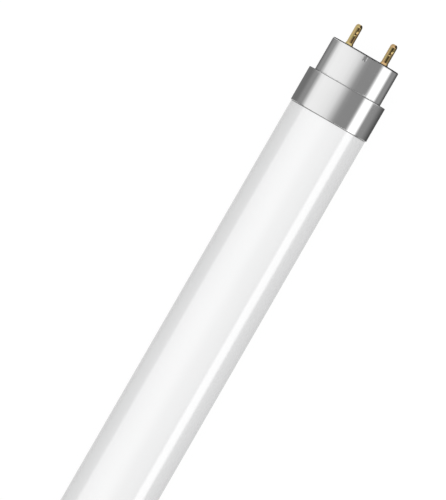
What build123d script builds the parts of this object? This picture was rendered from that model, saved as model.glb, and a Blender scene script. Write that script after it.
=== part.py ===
from build123d import *
from math import cos, radians, sin
import os

# Straight fluorescent tube lamp with a two-pin G13 base at each end, in millimetres.
# It lies along X with its middle at the origin and +Z up. The two pins of each base lie side by side along Y,
# and the stakes that lock the base's insulator are at the top and bottom of the cap's neck.

# Lamp
BASE_LENGTH = 589.0  # from one base face to the other, without the pins

# Sealed glass tube, coated inside
TUBE_DIAMETER = 26.9
END_GAP = 1.0  # between the end of the glass and the cap's shoulder
END_LENGTH = 3.0  # of the drawn-in end
END_NARROWING = 2.2  # of the radius, over the drawn-in end
FLARE_DEPTH = 6.0  # of the stem's flare, the hollow in the end of the tube
FLARE_SPREAD = 1.5  # how much its radius grows towards the mouth

# Cap shell, drawn from aluminium sheet: a sleeve over the glass and a narrower neck with a rim turned in
SHELL_WALL = 0.3
SLEEVE_LENGTH = 12.1
SHOULDER_STEP = 1.9  # from the sleeve's radius down to the neck's
SHOULDER_ROUNDING = 0.2
NECK_LENGTH = 11.9
RIM_ROUNDING = 0.45
RIM_OVERLAP = 1.5  # how far the rim reaches in over the insulator

# Stakes pressed into the neck
STAKE_WIDTH = 1.4
STAKE_LENGTH = 1.6
STAKE_DEPTH = 0.2
STAKE_INSET = 0.7  # from the base face to the stake
STAKE_CLEARANCE = 0.1  # round the stake, in the insulator's edge

# Insulator disc that carries the pins
INSULATOR_THICKNESS = 2.6
INSULATOR_CLEARANCE = 0.05

# Contact pins, crimped on the lead wire inside and open at the tip
PIN_SPACING = 12.7
PIN_DIAMETER = 2.35
PIN_LENGTH = 7.4  # beyond the base face
PIN_CLEARANCE = 0.02
PIN_TIP_ROUNDING = 0.6
PIN_BORE = 1.0  # hollow at the tip, above the crimp
PIN_BORE_DEPTH = 1.4
PIN_COLLAR_DIAMETER = 3.0
PIN_COLLAR_HEIGHT = 0.4
PIN_HEAD_DIAMETER = 3.8
PIN_HEAD_THICKNESS = 0.7
CRIMP_HEIGHT = 4.3  # from the base face to the middle of the crimp
CRIMP_RADIUS = 0.9
CRIMP_DEPTH = 0.3

# Lead wires from the stem to the pins
LEAD_DIAMETER = 0.8
LEAD_MARGIN = 0.8  # between the leads and the wall of the flare

# Places worked out from the sizes above
base_face = BASE_LENGTH / 2
rim_back = base_face - SHELL_WALL
shoulder = base_face - NECK_LENGTH
shoulder_back = shoulder - SHELL_WALL
sleeve_mouth = shoulder - SLEEVE_LENGTH
tube_radius = TUBE_DIAMETER / 2
sleeve_radius = tube_radius + SHELL_WALL
neck_radius = sleeve_radius - SHOULDER_STEP
neck_bore = neck_radius - SHELL_WALL
rim_opening = neck_radius - RIM_OVERLAP

tube_end = shoulder_back - END_GAP
end_start = tube_end - END_LENGTH
end_radius = tube_radius - END_NARROWING
stem_face = tube_end - FLARE_DEPTH
lead_radius = LEAD_DIAMETER / 2
flare_throat = PIN_SPACING / 2 + lead_radius + LEAD_MARGIN
flare_mouth = flare_throat + FLARE_SPREAD

stake_middle = base_face - STAKE_INSET - STAKE_LENGTH / 2
stake_floor = neck_bore - STAKE_DEPTH  # radius of the bulge inside the neck
insulator_back = rim_back - INSULATOR_THICKNESS
pin_radius = PIN_DIAMETER / 2
pin_head_back = insulator_back - PIN_HEAD_THICKNESS
pin_tip = base_face + PIN_LENGTH
crimp_middle = base_face + CRIMP_HEIGHT
crimp_offset = pin_radius - CRIMP_DEPTH + CRIMP_RADIUS
pin_bore_floor = pin_tip - PIN_BORE_DEPTH


def rounded_edge(x, radius, rounding, cones):
    """Points over an outer edge at x and radius, rounded off in a few cones."""
    angles = [radians(90 * step / cones) for step in range(cones + 1)]
    return [(x - rounding * (1 - sin(a)), radius - rounding * (1 - cos(a))) for a in angles]


def stake_plane(side, height):
    """Plane across the stake at the top (side 1) or bottom (side -1) of the neck, facing outwards."""
    return Plane(origin=(stake_middle, 0, side * height), x_dir=(1, 0, 0), z_dir=(0, 0, side))


# Sealed glass tube: one body, drawn in at both ends round the hollow of the stem
with BuildPart() as glass_tube:
    with BuildSketch(Plane.XZ):
        with BuildLine():
            Polyline(
                (0, 0),
                (0, tube_radius),
                (end_start, tube_radius),
                (tube_end, end_radius),
                (tube_end, flare_mouth),
                (stem_face, flare_throat),
                (stem_face, 0),
                close=True,
            )
        make_face()
    revolve(axis=Axis.X)
    mirror(about=Plane.YZ)


# Cap shell: sleeve, shoulder, neck and turned-in rim of one sheet, with two stakes pressed into the neck
with BuildPart() as right_cap_shell:
    with BuildSketch(Plane.XZ):
        with BuildLine():
            Polyline(
                (sleeve_mouth, sleeve_radius),
                *rounded_edge(shoulder, sleeve_radius, SHOULDER_ROUNDING, cones=1),
                (shoulder, neck_radius),
                *rounded_edge(base_face, neck_radius, RIM_ROUNDING, cones=2),
                (base_face, rim_opening),
                (rim_back, rim_opening),
                (rim_back, neck_bore),
                (shoulder_back, neck_bore),
                (shoulder_back, tube_radius),
                (sleeve_mouth, tube_radius),
                close=True,
            )
        make_face()
    revolve(axis=Axis.X)
    for side in (1, -1):
        with BuildSketch(stake_plane(side, stake_floor)):
            Rectangle(STAKE_LENGTH + SHELL_WALL, STAKE_WIDTH + SHELL_WALL)
        extrude(amount=STAKE_DEPTH + SHELL_WALL / 2)
        with BuildSketch(stake_plane(side, neck_radius)):
            Rectangle(STAKE_LENGTH, STAKE_WIDTH)
        extrude(amount=-STAKE_DEPTH, mode=Mode.SUBTRACT)

with BuildPart() as left_cap_shell:
    add(right_cap_shell.part, rotation=(0, 0, 180))


# Insulator disc behind the rim, with a hole for each pin and a notch in its edge for each stake
with BuildPart() as right_insulator:
    with BuildSketch(Plane.YZ.offset(insulator_back)):
        Circle(neck_bore - INSULATOR_CLEARANCE)
        with GridLocations(PIN_SPACING, 0, 2, 1):
            Circle(pin_radius + PIN_CLEARANCE, mode=Mode.SUBTRACT)
    extrude(amount=INSULATOR_THICKNESS)
    for side in (1, -1):
        with BuildSketch(stake_plane(side, stake_floor - STAKE_CLEARANCE)):
            Rectangle(
                STAKE_LENGTH + SHELL_WALL + 2 * STAKE_CLEARANCE,
                STAKE_WIDTH + SHELL_WALL + 2 * STAKE_CLEARANCE,
            )
        extrude(amount=STAKE_DEPTH + STAKE_CLEARANCE, mode=Mode.SUBTRACT)

with BuildPart() as left_insulator:
    add(right_insulator.part, rotation=(0, 0, 180))


def contact_pin(end, side):
    """Pin at the right (1) or left (-1) end, on the back (1) or front (-1) side."""
    centre = (0, side * PIN_SPACING / 2, 0)
    along = Plane(origin=centre, x_dir=(end, 0, 0), z_dir=(0, -1, 0))
    with BuildPart() as pin:
        with BuildSketch(along):
            with BuildLine():
                Polyline(
                    (pin_head_back, 0),
                    (pin_head_back, PIN_HEAD_DIAMETER / 2),
                    (insulator_back, PIN_HEAD_DIAMETER / 2),
                    (insulator_back, pin_radius),
                    (rim_back, pin_radius),
                    (rim_back, PIN_COLLAR_DIAMETER / 2),
                    (base_face + PIN_COLLAR_HEIGHT, pin_radius),
                    *rounded_edge(pin_tip, pin_radius, PIN_TIP_ROUNDING, cones=2),
                    (pin_tip, PIN_BORE / 2),
                    (pin_bore_floor, PIN_BORE / 2),
                    (pin_bore_floor, 0),
                    close=True,
                )
            make_face()
        revolve(axis=Axis(centre, (1, 0, 0)))
        with BuildSketch(along):
            with Locations((crimp_middle, crimp_offset), (crimp_middle, -crimp_offset)):
                Circle(CRIMP_RADIUS)
        extrude(amount=pin_radius, both=True, mode=Mode.SUBTRACT)
    return pin.part


def lead_wire(end, side):
    """Wire from the stem at the right (1) or left (-1) end to the pin on the back (1) or front (-1) side."""
    start = Plane(origin=(end * stem_face, side * PIN_SPACING / 2, 0), z_dir=(end, 0, 0))
    with BuildPart() as wire:
        with BuildSketch(start):
            Circle(lead_radius)
        extrude(amount=pin_head_back - stem_face)
    return wire.part


pieces = {
    "glass_tube": glass_tube.part,
    "right_cap_shell": right_cap_shell.part,
    "left_cap_shell": left_cap_shell.part,
    "right_insulator": right_insulator.part,
    "left_insulator": left_insulator.part,
}
for end_name, end in (("right", 1), ("left", -1)):
    for side_name, side in (("back", 1), ("front", -1)):
        pieces[f"{end_name}_{side_name}_pin"] = contact_pin(end, side)
        pieces[f"{end_name}_{side_name}_lead"] = lead_wire(end, side)

os.makedirs("parts", exist_ok=True)
for name, piece in pieces.items():
    piece.label = name
    export_step(piece, f"parts/{name}.step")
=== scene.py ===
from math import asin, atan2, cos, pi, radians, sin, sqrt

import bpy
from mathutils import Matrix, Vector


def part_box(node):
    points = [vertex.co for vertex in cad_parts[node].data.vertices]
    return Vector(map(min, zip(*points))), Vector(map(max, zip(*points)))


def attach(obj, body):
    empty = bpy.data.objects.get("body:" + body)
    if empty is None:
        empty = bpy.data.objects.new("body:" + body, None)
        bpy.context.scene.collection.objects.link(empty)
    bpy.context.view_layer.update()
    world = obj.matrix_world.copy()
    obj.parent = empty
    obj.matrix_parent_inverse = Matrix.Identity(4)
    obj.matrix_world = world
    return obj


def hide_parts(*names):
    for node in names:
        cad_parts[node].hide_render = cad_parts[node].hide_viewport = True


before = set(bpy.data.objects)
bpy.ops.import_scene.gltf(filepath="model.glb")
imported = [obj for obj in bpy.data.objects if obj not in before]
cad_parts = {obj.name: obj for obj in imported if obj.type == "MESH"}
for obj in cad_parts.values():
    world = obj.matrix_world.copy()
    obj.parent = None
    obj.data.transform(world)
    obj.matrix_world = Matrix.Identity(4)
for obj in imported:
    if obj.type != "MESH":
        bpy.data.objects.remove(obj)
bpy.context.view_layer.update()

# Straight tube lamp lying along X, its middle at the origin, with the pins of each base side by side along Y
MM = 0.001  # in metres

# Sizes that the frame holds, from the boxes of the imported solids
tube_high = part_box("glass_tube")[1]
cap_low, cap_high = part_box("right_cap_shell")
disc_low, disc_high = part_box("right_insulator")
pin_low, pin_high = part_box("right_back_pin")
tube_end = tube_high[0]
tube_radius = tube_high[2]
sleeve_mouth = cap_low[0]
base_face = cap_high[0]
sleeve_radius = cap_high[2]
insulator_back, rim_back = disc_low[0], disc_high[0]
pin_head_back, pin_tip = pin_low[0], pin_high[0]
pin_offset = (pin_low[1] + pin_high[1]) / 2
pin_head_radius = (pin_high[1] - pin_low[1]) / 2

# Glass: drawn-in ends round the hollow of the stem, inside the caps
END_LENGTH = 3.0 * MM
END_NARROWING = 2.2 * MM
FLARE_DEPTH = 6.0 * MM
FLARE_MOUTH_RADIUS = 9.05 * MM
FLARE_THROAT_RADIUS = 7.55 * MM

# Cap shell: a sleeve on the glass, a shoulder, a neck and a rim turned in over the insulator
SHELL_WALL = 0.3 * MM
NECK_LENGTH = 11.9 * MM
SHOULDER_STEP = 1.9 * MM
SHOULDER_ROUNDING = 0.2 * MM
ROOT_ROUNDING = 0.12 * MM  # at the foot of the neck
MOUTH_ROUNDING = 0.15 * MM
RIM_ROUNDING = 0.45 * MM
RIM_OVERLAP = 1.5 * MM
RIM_EDGE_ROUNDING = 0.1 * MM  # at the rim's inner edge

# Stake pressed into the neck, at its top and at its bottom
STAKE_WIDTH = 1.4 * MM
STAKE_LENGTH = 1.8 * MM
STAKE_DEPTH = 0.2 * MM
STAKE_INSET = 0.5 * MM  # from the base face
STAKE_SHIFT = -0.25 * MM  # of its middle, to the front
STAKE_WALL = 0.12 * MM  # width of its steep walls, at the front and towards the rim
STAKE_SLOPE = 1.3 * MM  # width of its gentle slope from the back
STAKE_FOOT = 0.25 * MM  # width of its end wall, away from the rim

# Painted shade: a dark line on the glass at the sleeve's mouth, where the glass meets the cap
MOUTH_SHADE_WIDTH = 0.35 * MM

# Contact pins
PIN_RADIUS = 1.175 * MM
PIN_TIP_ROUNDING = 0.75 * MM
PIN_TIP_LENGTH = 1.15 * MM
PIN_BORE_RADIUS = 0.4 * MM
PIN_BORE_DEPTH = 1.4 * MM
PIN_COLLAR_RADIUS = 1.35 * MM
PIN_COLLAR_HEIGHT = 0.75 * MM
PIN_COLLAR_SLOPE = 0.42 * MM

# Nicks in a pin: start above the base face, length, middle along Y from the pin's axis, width
LOWER_NICK = (3.3 * MM, 0.45 * MM, -0.15 * MM, 0.55 * MM)
UPPER_NICK = (4.2 * MM, 1.0 * MM, -0.58 * MM, 0.8 * MM)
NICK_SLOPE = 0.33  # how fast a nick deepens towards the tip

# Places worked out from the sizes above
shoulder = base_face - NECK_LENGTH
shoulder_back = shoulder - SHELL_WALL
neck_radius = sleeve_radius - SHOULDER_STEP
neck_bore = neck_radius - SHELL_WALL
rim_opening = neck_radius - RIM_OVERLAP
stake_middle = base_face - STAKE_INSET - STAKE_LENGTH / 2

# Steps of the turned meshes
TURN_STEPS = 240
PIN_TURN_STEPS = 128
ARC_STEPS = 8
FINE_STEP = 0.05 * MM
SHARP_ANGLE = 35  # degrees between faces, above which an edge isn't smoothed


def arc(x, radius, rounding, start, end, stretch=1):
    """Profile points round a centre at x and radius, from one angle to another, in degrees from +X."""
    angles = [radians(start + (end - start) * k / ARC_STEPS) for k in range(ARC_STEPS + 1)]
    return [(x + stretch * rounding * cos(a), radius + rounding * sin(a)) for a in angles]


def fine_run(start, end, radius):
    """Closely spaced profile points along a straight run of one radius."""
    count = max(1, round(abs(end - start) / FINE_STEP))
    return [(start + (end - start) * k / count, radius) for k in range(count + 1)]


def turned(name, profile, angles, shape=None, centre=(0.0, 0.0), flip=1):
    """Closed mesh from an (x, radius) outline turned about an axis along X, with flip -1 for the left end.

    shape(x, y, z) takes a point's place along the axis and its offsets from it, and returns new offsets.
    """
    vertices, rings = [], []
    for x, radius in profile:
        ring = []
        for angle in angles if radius > 0 else [0.0]:
            y, z = radius * sin(angle), radius * cos(angle)
            if shape:
                y, z = shape(x, y, z)
            ring.append(len(vertices))
            vertices.append((flip * x, centre[0] + y, centre[1] + z))
        rings.append(ring)
    faces = []
    for first, second in zip(rings, rings[1:] + rings[:1]):
        count = max(len(first), len(second))
        for k in range(count):
            corners = [first[k % len(first)], first[(k + 1) % len(first)]]
            corners += [second[(k + 1) % len(second)], second[k % len(second)]]
            corners = list(dict.fromkeys(corners))
            if len(corners) > 2:
                faces.append(corners if flip > 0 else corners[::-1])
    mesh = bpy.data.meshes.new(name)
    mesh.from_pydata(vertices, [], faces)
    mesh.validate()
    mesh.shade_smooth()
    mesh.set_sharp_from_angle(angle=radians(SHARP_ANGLE))
    piece = bpy.data.objects.new(name, mesh)
    bpy.context.collection.objects.link(piece)
    return piece


def even_angles(count):
    """Angles in even steps all round."""
    return [2 * pi * k / count for k in range(count)]


def stake_angles():
    """Even steps all round, with fine steps over the stakes at the top and bottom of the neck."""
    reach = asin(STAKE_WIDTH / neck_radius)
    step = FINE_STEP / neck_radius
    fine = [step * k for k in range(-round(reach / step), round(reach / step) + 1)]
    angles = fine + [pi + a for a in fine]
    for angle in even_angles(TURN_STEPS):
        if all(abs((angle - middle + pi) % (2 * pi) - pi) > reach + step for middle in (0, pi)):
            angles.append(angle)
    return sorted(a % (2 * pi) for a in angles)


def soft_step(value):
    """Smooth rise from 0 to 1, level before and after it."""
    value = min(1.0, max(0.0, value))
    return value * value * (3 - 2 * value)


def stake_depth(x, y):
    """How far the neck is pressed in at a point over a stake."""
    back, front = STAKE_SHIFT + STAKE_WIDTH / 2, STAKE_SHIFT - STAKE_WIDTH / 2
    across = soft_step((back - y) / STAKE_SLOPE) * soft_step((y - front) / STAKE_WALL)
    start, end = stake_middle - STAKE_LENGTH / 2, stake_middle + STAKE_LENGTH / 2
    return STAKE_DEPTH * across * soft_step((x - start) / STAKE_FOOT) * soft_step((end - x) / STAKE_WALL)


def press_stakes(x, y, z):
    """Presses the stakes into the outside of the neck and leaves the rest of the shell."""
    if abs(sqrt(y * y + z * z) - neck_radius) > RIM_ROUNDING / 2:
        return y, z
    depth = stake_depth(x, y)
    return y, z - depth if z > 0 else z + depth


def press_crimp(x, y, z):
    """Nicks the pin's barrel where a punch has crimped it on the wire from both sides."""
    for start, length, middle, width in (LOWER_NICK, UPPER_NICK):
        run = x - base_face - start
        if 0 < run < length and abs(y - middle) < width / 2:
            limit = sqrt(PIN_RADIUS**2 - middle**2) - run * NICK_SLOPE
            z = max(-limit, min(limit, z))
    return y, z


def glass_profile():
    """Outline of the sealed tube, with the hollow of the stem at both ends."""
    return [
        (tube_end, tube_radius - END_NARROWING),
        (tube_end - END_LENGTH, tube_radius),
        (-tube_end + END_LENGTH, tube_radius),
        (-tube_end, tube_radius - END_NARROWING),
        (-tube_end, FLARE_MOUTH_RADIUS),
        (-tube_end + FLARE_DEPTH, FLARE_THROAT_RADIUS),
        (-tube_end + FLARE_DEPTH, 0),
        (tube_end - FLARE_DEPTH, 0),
        (tube_end - FLARE_DEPTH, FLARE_THROAT_RADIUS),
        (tube_end, FLARE_MOUTH_RADIUS),
    ]


def shell_profile():
    """Outline of the right cap's sheet, inside and outside."""
    stake_start = stake_middle - STAKE_LENGTH
    rim_start = base_face - RIM_ROUNDING
    return [
        (shoulder_back, tube_radius),
        (shoulder_back, neck_bore),
        (rim_back, neck_bore),
        (rim_back, rim_opening),
        *arc(base_face - RIM_EDGE_ROUNDING, rim_opening + RIM_EDGE_ROUNDING, RIM_EDGE_ROUNDING, -90, 0),
        (base_face, rim_opening + RIM_EDGE_ROUNDING + FINE_STEP),
        (base_face, neck_radius - RIM_ROUNDING - FINE_STEP),
        *arc(rim_start, neck_radius - RIM_ROUNDING, RIM_ROUNDING, 0, 90),
        *fine_run(rim_start - FINE_STEP, stake_start, neck_radius),
        (shoulder + ROOT_ROUNDING + FINE_STEP, neck_radius),
        *arc(shoulder + ROOT_ROUNDING, neck_radius + ROOT_ROUNDING, ROOT_ROUNDING, 270, 180),
        (shoulder, neck_radius + ROOT_ROUNDING + FINE_STEP),
        (shoulder, sleeve_radius - SHOULDER_ROUNDING - FINE_STEP),
        *arc(shoulder - SHOULDER_ROUNDING, sleeve_radius - SHOULDER_ROUNDING, SHOULDER_ROUNDING, 0, 90),
        (shoulder - SHOULDER_ROUNDING - FINE_STEP, sleeve_radius),
        (sleeve_mouth + MOUTH_ROUNDING + FINE_STEP, sleeve_radius),
        *arc(sleeve_mouth + MOUTH_ROUNDING, sleeve_radius - MOUTH_ROUNDING, MOUTH_ROUNDING, 90, 180),
        (sleeve_mouth, tube_radius),
    ]


def pin_profile():
    """Outline of a right pin, from the hollow in its tip to its head behind the insulator."""
    collar_top = base_face + PIN_COLLAR_HEIGHT
    tip_start = pin_tip - PIN_TIP_LENGTH
    tip_stretch = PIN_TIP_LENGTH / PIN_TIP_ROUNDING
    bore_floor = pin_tip - PIN_BORE_DEPTH
    return [
        (bore_floor, 0),
        (bore_floor, PIN_BORE_RADIUS),
        (pin_tip, PIN_BORE_RADIUS),
        *arc(tip_start, PIN_RADIUS - PIN_TIP_ROUNDING, PIN_TIP_ROUNDING, 0, 90, tip_stretch),
        *fine_run(tip_start - FINE_STEP, collar_top, PIN_RADIUS),
        (collar_top - PIN_COLLAR_SLOPE, PIN_COLLAR_RADIUS),
        (rim_back, PIN_COLLAR_RADIUS),
        (rim_back, PIN_RADIUS),
        (insulator_back, PIN_RADIUS),
        (insulator_back, pin_head_radius),
        (pin_head_back, pin_head_radius),
        (pin_head_back, 0),
    ]


# Finish of the pieces: the two colours of each material, its least and greatest roughness, and its relief
COATING_COLOURS = ((0.93, 0.932, 0.934), (0.945, 0.947, 0.949))
COATING_ROUGHNESS = (0.04, 0.07)
# painted shade of the dark line on the glass at the sleeve's mouth
MOUTH_SHADE_COLOURS = ((0.2, 0.2, 0.2), (0.3, 0.3, 0.29))
GLASS_IOR = 1.55
GLASS_COAT_ROUGHNESS = 0.03
ALUMINIUM_COLOURS = ((0.79, 0.79, 0.79), (0.805, 0.805, 0.805))
ALUMINIUM_ROUGHNESS = (0.07, 0.11)
ALUMINIUM_RELIEF = 0.02 * MM
BRASS_COLOURS = ((0.585, 0.385, 0.19), (0.505, 0.405, 0.17))
BRASS_ROUGHNESS = (0.08, 0.15)
BRASS_RELIEF = 0.01 * MM
BOARD_COLOURS = ((0.19, 0.125, 0.075), (0.235, 0.16, 0.1))
BOARD_ROUGHNESS = (0.5, 0.7)
BOARD_RELIEF = 0.05 * MM
WIRE_COLOURS = ((0.55, 0.53, 0.5), (0.7, 0.68, 0.64))
WIRE_ROUGHNESS = (0.3, 0.45)

# Stretches of the noise over which a colour turns into the other and roughness rises
COLOUR_SPAN = (0.35, 0.65)
BRASS_SPAN = (0.4, 0.6)
ROUGHNESS_SPAN = (0.3, 0.7)


def new_material(name, metallic=0.0):
    """Material with a Principled shader, for noise to vary."""
    made = bpy.data.materials.new(name)
    made.use_nodes = True
    shader = made.node_tree.nodes["Principled BSDF"]
    shader.inputs["Metallic"].default_value = metallic
    return made, made.node_tree, shader


def noise(tree, scale, stretch=(1, 1, 1), detail=4.0):
    """Noise over the object in its own coordinates, stretched by scaling them."""
    place = tree.nodes.new("ShaderNodeTexCoord")
    mapping = tree.nodes.new("ShaderNodeMapping")
    mapping.inputs["Scale"].default_value = stretch
    texture = tree.nodes.new("ShaderNodeTexNoise")
    texture.inputs["Scale"].default_value = scale
    texture.inputs["Detail"].default_value = detail
    tree.links.new(place.outputs["Object"], mapping.inputs["Vector"])
    tree.links.new(mapping.outputs["Vector"], texture.inputs["Vector"])
    return texture.outputs["Fac"]


def position(tree):
    """X, Y and Z of a point in the object's own coordinates."""
    place = tree.nodes.new("ShaderNodeTexCoord")
    split = tree.nodes.new("ShaderNodeSeparateXYZ")
    tree.links.new(place.outputs["Object"], split.inputs["Vector"])
    return split.outputs["X"], split.outputs["Y"], split.outputs["Z"]


def feed(tree, socket, value):
    """Sets a socket to a number, or links it to another node's socket."""
    if isinstance(value, (int, float)):
        socket.default_value = value
    else:
        tree.links.new(value, socket)


def math_node(tree, operation, *values):
    """Result of an operation on numbers or sockets."""
    node = tree.nodes.new("ShaderNodeMath")
    node.operation = operation
    for socket, value in zip(node.inputs, values):
        feed(tree, socket, value)
    return node.outputs["Value"]


def map_range(tree, value, start, end, low=0.0, high=1.0, interpolation="LINEAR"):
    """A value that runs from start to end, turned into one from low to high."""
    node = tree.nodes.new("ShaderNodeMapRange")
    node.interpolation_type = interpolation
    for name, number in (("From Min", start), ("From Max", end), ("To Min", low), ("To Max", high)):
        node.inputs[name].default_value = number
    tree.links.new(value, node.inputs["Value"])
    return node.outputs["Result"]


def colour_ramp(tree, factor, stops):
    """Colour by a factor from 0 to 1, from two or more (place, colour) stops."""
    node = tree.nodes.new("ShaderNodeValToRGB")
    elements = node.color_ramp.elements
    while len(elements) < len(stops):
        elements.new(position=0.5)
    for element, (place, colour) in zip(elements, stops):
        element.position = place
        element.color = (*colour, 1)
    tree.links.new(factor, node.inputs["Fac"])
    return node.outputs["Color"]


def choose(tree, factor, first, second):
    """First colour where the factor is 0, second where it is 1."""
    mix = tree.nodes.new("ShaderNodeMix")
    mix.data_type = "RGBA"
    tree.links.new(factor, mix.inputs["Factor"])
    tree.links.new(first, mix.inputs["A"])
    tree.links.new(second, mix.inputs["B"])
    return mix.outputs["Result"]


def colour_between(tree, factor, colours, span=COLOUR_SPAN):
    """Colour that noise varies between two."""
    return colour_ramp(tree, factor, list(zip(span, colours)))


def roughen(tree, shader, factor, roughness):
    """Roughness that noise varies between two."""
    tree.links.new(map_range(tree, factor, *ROUGHNESS_SPAN, *roughness), shader.inputs["Roughness"])


def bump(tree, shader, factor, distance, strength):
    """Fine relief from noise."""
    relief = tree.nodes.new("ShaderNodeBump")
    relief.inputs["Distance"].default_value = distance
    relief.inputs["Strength"].default_value = strength
    tree.links.new(factor, relief.inputs["Height"])
    tree.links.new(relief.outputs["Normal"], shader.inputs["Normal"])


def coated_glass():
    """White coating seen through clear, smooth glass, with a line of painted shade at the mouths of the
    caps.
    """
    made, tree, shader = new_material("coated_glass")
    coating = colour_between(tree, noise(tree, scale=18, stretch=(1, 4, 4)), COATING_COLOURS)
    # painted shade: a dark line on the glass at the sleeve's mouth
    painted_shade = colour_between(tree, noise(tree, scale=900), MOUTH_SHADE_COLOURS)
    along = math_node(tree, "ABSOLUTE", position(tree)[0])
    line = (sleeve_mouth - MOUTH_SHADE_WIDTH, sleeve_mouth - MOUTH_SHADE_WIDTH / 2)
    shaded_line = map_range(tree, along, *line, interpolation="SMOOTHSTEP")
    tree.links.new(choose(tree, shaded_line, coating, painted_shade), shader.inputs["Base Color"])
    roughen(tree, shader, noise(tree, scale=60), COATING_ROUGHNESS)
    shader.inputs["IOR"].default_value = GLASS_IOR
    shader.inputs["Coat Weight"].default_value = 1.0
    shader.inputs["Coat Roughness"].default_value = GLASS_COAT_ROUGHNESS
    shader.inputs["Coat IOR"].default_value = GLASS_IOR
    return made


def cap_aluminium():
    """Drawn sheet: nearly smooth, with fine lines along the draw and faint cloudiness."""
    made, tree, shader = new_material("cap_aluminium", metallic=1.0)
    colour = colour_between(tree, noise(tree, scale=90), ALUMINIUM_COLOURS)
    tree.links.new(colour, shader.inputs["Base Color"])
    roughen(tree, shader, noise(tree, scale=220), ALUMINIUM_ROUGHNESS)
    lines = noise(tree, scale=400, stretch=(0.05, 3, 3), detail=2.0)
    bump(tree, shader, lines, ALUMINIUM_RELIEF, strength=0.15)
    return made


def pin_brass():
    """Brass, dulled a little in patches."""
    made, tree, shader = new_material("pin_brass", metallic=1.0)
    colour = colour_between(tree, noise(tree, scale=600), BRASS_COLOURS, BRASS_SPAN)
    tree.links.new(colour, shader.inputs["Base Color"])
    roughen(tree, shader, noise(tree, scale=1500), BRASS_ROUGHNESS)
    bump(tree, shader, noise(tree, scale=3000, stretch=(0.3, 1, 1)), BRASS_RELIEF, strength=0.15)
    return made


def insulator_board():
    """Pressed laminate, brown and matt, with a faint fibre."""
    made, tree, shader = new_material("insulator_board")
    colour = colour_between(tree, noise(tree, scale=1300, stretch=(1, 1, 2)), BOARD_COLOURS)
    tree.links.new(colour, shader.inputs["Base Color"])
    roughen(tree, shader, noise(tree, scale=300), BOARD_ROUGHNESS)
    bump(tree, shader, noise(tree, scale=1600, stretch=(1, 1, 3)), BOARD_RELIEF, strength=0.3)
    return made


def lead_wire():
    """Bare drawn wire."""
    made, tree, shader = new_material("lead_wire", metallic=1.0)
    colour = colour_between(tree, noise(tree, scale=500), WIRE_COLOURS)
    tree.links.new(colour, shader.inputs["Base Color"])
    roughen(tree, shader, noise(tree, scale=900, stretch=(0.1, 1, 1)), WIRE_ROUGHNESS)
    return made


materials = {
    "coated_glass": coated_glass(),
    "cap_aluminium": cap_aluminium(),
    "pin_brass": pin_brass(),
    "insulator_board": insulator_board(),
    "lead_wire": lead_wire(),
}


def fit_piece(piece, node, slot):
    """Puts a finished piece in the place of the CAD node that it shows."""
    piece.data.materials.append(materials[slot])
    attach(piece, "root")
    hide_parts(node)


def dress(node, slot):
    """Gives its material to a CAD node that shows as it is."""
    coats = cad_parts[node].data.materials
    coats.clear()
    coats.append(materials[slot])


# Pieces of the lamp
glass = turned("sealed_tube", glass_profile(), even_angles(TURN_STEPS))
fit_piece(glass, "glass_tube", "coated_glass")
for end_name, end in (("right", 1), ("left", -1)):
    shell = turned(f"{end_name}_cap", shell_profile(), stake_angles(), press_stakes, flip=end)
    fit_piece(shell, f"{end_name}_cap_shell", "cap_aluminium")
    for side_name, side in (("back", 1), ("front", -1)):
        centre = (side * pin_offset, 0.0)
        angles = even_angles(PIN_TURN_STEPS)
        pin = turned(f"{end_name}_{side_name}_contact", pin_profile(), angles, press_crimp, centre, end)
        fit_piece(pin, f"{end_name}_{side_name}_pin", "pin_brass")
        dress(f"{end_name}_{side_name}_lead", "lead_wire")
    dress(f"{end_name}_insulator", "insulator_board")


# Studio: a white floor, even light from all round, and a graded light tent that only reflections show
FLOOR_SIZE = 40.0
FLOOR_GLOW = 0.93  # to the camera and in reflections
FLOOR_BOUNCE = 0.1  # to the lamp and all else
FLOOR_SHADE = 0.1  # how much of the floor's white the lamp's shade can take
WORLD_LEVEL = 1.0
TENT_RADIUS = 40 * MM
TENT_MARGIN = 3 * MM  # from the pins' tips to the tent's ends
TENT_LIFT = 0.2 * MM  # of its base above the floor
TENT_STEPS = 96
TENT_DRIFT = 0.4 * MM  # how far along the lamp a reflection lands, at the camera's slight angle
TENT_TOP_LEVEL = 2.5  # of the brightest light that a ramp can hold

# Dark rings that the rounded edges of the caps mirror: distance beyond the edge, inner and outer radius
RIM_FLAG = (0.3 * MM, 11.2 * MM, 13.2 * MM)
SHOULDER_FLAG = (0.3 * MM, 13.3 * MM, 14.8 * MM)
FLAG_LEVEL = 0.05

# Light that the lamp's walls mirror, by the distance from its middle plane, + towards the front (-Y)
TOP_LIGHT = [
    (-7.6 * MM, 1.06),
    (-5.0 * MM, 1.03),
    (-2.8 * MM, 0.97),
    (-1.3 * MM, 0.85),
    (0.0 * MM, 0.59),
    (1.3 * MM, 0.35),
    (2.5 * MM, 0.295),
    (5.8 * MM, 0.29),
]

# Its edges beside the metal: a broad soft light at the back and a bright strip at the front
METAL_BACK = [
    (-10.2 * MM, 0.33),
    (-9.5 * MM, 0.625),
    (-8.9 * MM, 0.975),
]
METAL_FRONT = [
    (6.25 * MM, 0.49),
    (6.9 * MM, 1.32),
    (9.2 * MM, 1.32),
    (9.5 * MM, 0.87),
    (9.9 * MM, 0.32),
]

# Its dim foot beside the metal, darker towards the edges of the sleeves and of the necks
SLEEVE_BACK_FOOT = [(-13.4 * MM, 0.19), (-12.3 * MM, 0.19), (-11.9 * MM, 0.22), (-11.3 * MM, 0.3)]
SLEEVE_FRONT_FOOT = [(11.6 * MM, 0.29), (12.4 * MM, 0.205), (12.9 * MM, 0.14), (13.3 * MM, 0.09)]
NECK_BACK_FOOT = [(-11.7 * MM, 0.15), (-11.4 * MM, 0.235), (-10.9 * MM, 0.32)]
NECK_FRONT_FOOT = [(10.95 * MM, 0.31), (11.35 * MM, 0.17), (11.65 * MM, 0.08)]

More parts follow.
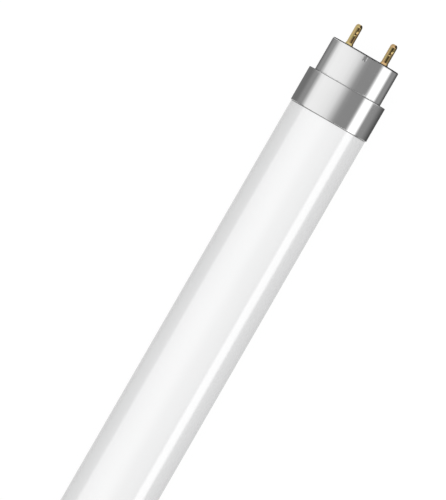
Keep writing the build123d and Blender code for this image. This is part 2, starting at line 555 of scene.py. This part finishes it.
# Its edges and foot beside the glass, where the lights end more sharply and the foot is paler
GLASS_BACK = [
    (-13.5 * MM, 0.74),
    (-12.95 * MM, 0.56),
    (-12.5 * MM, 0.59),
    (-12.0 * MM, 0.47),
    (-11.1 * MM, 0.25),
    (-10.6 * MM, 0.18),
    (-9.6 * MM, 0.08),
    (-9.2 * MM, 0.55),
    (-8.85 * MM, 1.15),
    (-8.2 * MM, 1.08),
]
GLASS_FRONT = [
    (6.3 * MM, 0.2),
    (6.7 * MM, 0.6),
    (7.2 * MM, 2.1),
    (9.08 * MM, 2.1),
    (9.45 * MM, 0.95),
    (9.8 * MM, 0.12),
    (10.5 * MM, 0.1),
    (11.0 * MM, 0.2),
    (12.0 * MM, 0.45),
    (12.8 * MM, 0.58),
    (13.5 * MM, 0.68),
]

# Light for the pins, by the angle about the lamp's axis in degrees from the top, + towards the front
PIN_LIGHT = [
    (-180, 0.59),
    (-100, 0.94),
    (-53, 0.97),
    (-43, 0.62),
    (-20, 0.48),
    (-9, 0.2),
    (2, 0.075),
    (26, 0.08),
    (44, 0.28),
    (64, 0.5),
    (80, 0.42),
    (96, 0.12),
    (180, 0.1),
]

# Light of the tent's ends: by the place along Y, dark to the front of each pin, and above that by height
END_LIGHT = [
    (-8.0 * MM, 0.08),
    (-7.6 * MM, 0.85),
    (0.0 * MM, 0.85),
    (0.0 * MM, 0.08),
    (4.7 * MM, 0.08),
    (5.1 * MM, 0.85),
]
END_STRIPE_TOP = 8.0 * MM
END_TOP_LIGHT = [(9.3 * MM, 1.5), (10.6 * MM, 1.2)]

# Card beyond the pins' tips and midway between them
CARD_GAP = 0.3 * MM  # from the tips to the card
CARD_DARK_LEVEL = 0.08
CARD_PALE_LEVEL = 0.85

# Places worked out from the sizes above
floor_height = -sleeve_radius
tent_base = floor_height + TENT_LIFT
tent_end = pin_tip + TENT_MARGIN


def stage_mesh(name, vertices, faces, material):
    """Mesh of the studio, not of the lamp."""
    mesh = bpy.data.meshes.new(name)
    mesh.from_pydata(vertices, [], faces)
    mesh.materials.append(material)
    piece = bpy.data.objects.new(name, mesh)
    bpy.context.collection.objects.link(piece)
    return piece


def only_in_reflections(piece):
    """Hides a piece of the studio from all but reflections."""
    piece.visible_camera = False
    piece.visible_diffuse = False
    piece.visible_shadow = False
    piece.visible_transmission = False


def empty_material(name):
    """Material without nodes."""
    made = bpy.data.materials.new(name)
    made.use_nodes = True
    made.node_tree.nodes.clear()
    return made, made.node_tree


def glow(tree, strength, colour=None):
    """Glow of a strength, in white or in a colour."""
    node = tree.nodes.new("ShaderNodeEmission")
    feed(tree, node.inputs["Strength"], strength)
    if colour is not None:
        feed(tree, node.inputs["Color"], colour)
    return node.outputs["Emission"]


def show(tree, surface):
    """Makes a shader the surface of its material."""
    out = tree.nodes.new("ShaderNodeOutputMaterial")
    tree.links.new(surface, out.inputs["Surface"])


def white_floor():
    """White to the camera and in reflections, a little darker where the lamp shades it."""
    made, tree = empty_material("white_floor")
    path = tree.nodes.new("ShaderNodeLightPath")
    seen = math_node(tree, "MAXIMUM", path.outputs["Is Camera Ray"], path.outputs["Is Glossy Ray"])
    seen = math_node(tree, "MAXIMUM", seen, path.outputs["Is Transmission Ray"])
    level = math_node(tree, "MULTIPLY_ADD", seen, FLOOR_GLOW - FLOOR_BOUNCE, FLOOR_BOUNCE)
    paint = tree.nodes.new("ShaderNodeBsdfDiffuse")
    paint.inputs["Color"].default_value = (FLOOR_SHADE, FLOOR_SHADE, FLOOR_SHADE, 1)
    both = tree.nodes.new("ShaderNodeAddShader")
    tree.links.new(glow(tree, level), both.inputs[0])
    tree.links.new(paint.outputs["BSDF"], both.inputs[1])
    show(tree, both.outputs["Shader"])
    return made


def mirrored_angle(offset, radius):
    """Angle on the tent that a round wall mirrors at an offset from its middle, seen from above."""
    tilt = asin(offset / radius)
    across, up = offset, radius * cos(tilt)
    reach = -up + sqrt(TENT_RADIUS**2 - offset**2)
    if cos(2 * tilt) < 0:
        reach = min(reach, (tent_base - up) / cos(2 * tilt))
    return atan2(across + reach * sin(2 * tilt), up + reach * cos(2 * tilt))


def mirrored_stops(light, radius):
    """Stops of light by angle on the tent, for a wall of that radius."""
    return [(mirrored_angle(offset, radius), level) for offset, level in light]


def light_ramp(tree, place, reach, stops):
    """Ramp of light over a place from -reach to reach, from (place, level) stops."""
    factor = map_range(tree, place, -reach, reach)
    shares = [((stop + reach) / (2 * reach), level / TENT_TOP_LEVEL) for stop, level in stops]
    return colour_ramp(tree, factor, [(stop, (share, share, share)) for stop, share in shares])


def tent_cloth():
    """Light that changes with the angle about the lamp, set apart for the tube, sleeves, necks and pins."""
    made, tree = empty_material("tent_cloth")
    x, y, z = position(tree)
    angle = math_node(tree, "ARCTAN2", math_node(tree, "MULTIPLY", y, -1.0), z)
    along = math_node(tree, "ABSOLUTE", x)
    metal_light = METAL_BACK + TOP_LIGHT + METAL_FRONT
    sleeve_light = SLEEVE_BACK_FOOT + metal_light + SLEEVE_FRONT_FOOT
    neck_light = NECK_BACK_FOOT + metal_light + NECK_FRONT_FOOT
    glass_light = GLASS_BACK + TOP_LIGHT + GLASS_FRONT
    light = light_ramp(tree, angle, pi, mirrored_stops(glass_light, sleeve_radius))
    for start, stops in (
        (sleeve_mouth - MOUTH_SHADE_WIDTH, mirrored_stops(sleeve_light, sleeve_radius)),
        (shoulder, mirrored_stops(neck_light, neck_radius)),
        (base_face, [(radians(degrees), level) for degrees, level in PIN_LIGHT]),
    ):
        beyond = math_node(tree, "GREATER_THAN", along, start + TENT_DRIFT)
        light = choose(tree, beyond, light, light_ramp(tree, angle, pi, stops))
    show(tree, glow(tree, TENT_TOP_LEVEL, light))
    return made


def end_cloth():
    """Light of the tent's ends, with stripes up to a height and level bands above."""
    made, tree = empty_material("end_cloth")
    _, y, z = position(tree)
    above = math_node(tree, "GREATER_THAN", z, END_STRIPE_TOP)
    low_light = light_ramp(tree, y, TENT_RADIUS, END_LIGHT)
    top_light = light_ramp(tree, z, TENT_RADIUS, END_TOP_LIGHT)
    show(tree, glow(tree, TENT_TOP_LEVEL, choose(tree, above, low_light, top_light)))
    return made


def card_cloth():
    """Dark towards the back pin and pale towards the front one."""
    made, tree = empty_material("card_cloth")
    face = tree.nodes.new("ShaderNodeNewGeometry")
    levels = (CARD_PALE_LEVEL - CARD_DARK_LEVEL, CARD_DARK_LEVEL)
    level = math_node(tree, "MULTIPLY_ADD", face.outputs["Backfacing"], *levels)
    show(tree, glow(tree, level))
    return made


def flag_cloth():
    """Dark towards the lamp and clear from outside."""
    made, tree = empty_material("flag_cloth")
    face = tree.nodes.new("ShaderNodeNewGeometry")
    clear = tree.nodes.new("ShaderNodeBsdfTransparent")
    mix = tree.nodes.new("ShaderNodeMixShader")
    tree.links.new(face.outputs["Backfacing"], mix.inputs["Fac"])
    tree.links.new(glow(tree, FLAG_LEVEL), mix.inputs[1])
    tree.links.new(clear.outputs["BSDF"], mix.inputs[2])
    show(tree, mix.outputs["Shader"])
    return made


def add_cloth(name, vertices, faces, material):
    """Piece of the studio that only reflections show, and that isn't sampled as a lamp."""
    material.cycles.emission_sampling = "NONE"
    only_in_reflections(stage_mesh(name, vertices, faces, material))


# Floor under the lamp
half = FLOOR_SIZE / 2
floor_plan = ((-half, -half), (half, -half), (half, half), (-half, half))
floor_corners = [(x, y, floor_height) for x, y in floor_plan]
stage_mesh("floor", floor_corners, [(0, 1, 2, 3)], white_floor())

# Tent: an arch over the lamp, closed just above the floor and at its ends
tent_reach = pi - atan2(sqrt(TENT_RADIUS**2 - tent_base**2), -tent_base)
tent_turns = [tent_reach * (2 * k / TENT_STEPS - 1) for k in range(TENT_STEPS + 1)]
tent_section = [(TENT_RADIUS * sin(turn), TENT_RADIUS * cos(turn)) for turn in tent_turns]
count = len(tent_section)
tent_walls = [(k, (k + 1) % count, count + (k + 1) % count, count + k) for k in range(count)]
tent_corners = [(x, y, z) for x in (-tent_end, tent_end) for y, z in tent_section]
add_cloth("tent", tent_corners, tent_walls, tent_cloth())
tent_ends = [tuple(range(count)), tuple(range(count, 2 * count))]
add_cloth("tent_ends", tent_corners, tent_ends, end_cloth())

# Flags: flat rings by the rims and shoulders
flag_corners, flag_faces = [], []
for end in (-1, 1):
    for edge, (distance, *radii) in ((base_face, RIM_FLAG), (shoulder, SHOULDER_FLAG)):
        start = len(flag_corners)
        for radius in radii:
            for turn in even_angles(TENT_STEPS):
                flag_corners.append((end * (edge + distance), radius * sin(turn), radius * cos(turn)))
        for k in range(TENT_STEPS):
            inner, after = start + k, start + (k + 1) % TENT_STEPS
            flag_faces.append((inner, after, after + TENT_STEPS, inner + TENT_STEPS)[::-end])
add_cloth("flags", flag_corners, flag_faces, flag_cloth())

# Cards: upright, from the pins' tips to the tent's ends
card_corners, card_faces = [], []
for end in (-1, 1):
    start = len(card_corners)
    near, far = end * (pin_tip + CARD_GAP), end * tent_end
    for x, z in ((near, tent_base), (near, END_STRIPE_TOP), (far, END_STRIPE_TOP), (far, tent_base)):
        card_corners.append((x, 0.0, z))
    card_faces.append((start, start + 1, start + 2, start + 3)[::end])
add_cloth("cards", card_corners, card_faces, card_cloth())

# Even white light from all round
world = bpy.data.worlds.new("studio")
bpy.context.scene.world = world
world.use_nodes = True
sky = world.node_tree.nodes["Background"]
sky.inputs["Color"].default_value = (1, 1, 1, 1)
sky.inputs["Strength"].default_value = WORLD_LEVEL

# Camera: straight above the right end and far off, turned as the photograph shows the lamp
PIXEL = 0.3167 * MM  # on the lamp
FRAME_PIXELS = 500  # along the picture's longer side
LENS = 1400  # in millimetres, as the sensor
SENSOR = 36
CAMERA_X = 218.35 * MM
CAMERA_Y = 8.41 * MM
CAMERA_TURN = -60.02  # degrees
camera_data = bpy.data.cameras.new("camera")
camera_data.sensor_width = SENSOR
camera_data.lens = LENS
camera = bpy.data.objects.new("camera", camera_data)
camera.location = (CAMERA_X, CAMERA_Y, PIXEL * FRAME_PIXELS * LENS / SENSOR)
camera.rotation_euler = (0, 0, radians(CAMERA_TURN))
bpy.context.collection.objects.link(camera)
bpy.context.scene.camera = camera
bpy.context.scene.view_settings.view_transform = "Standard"
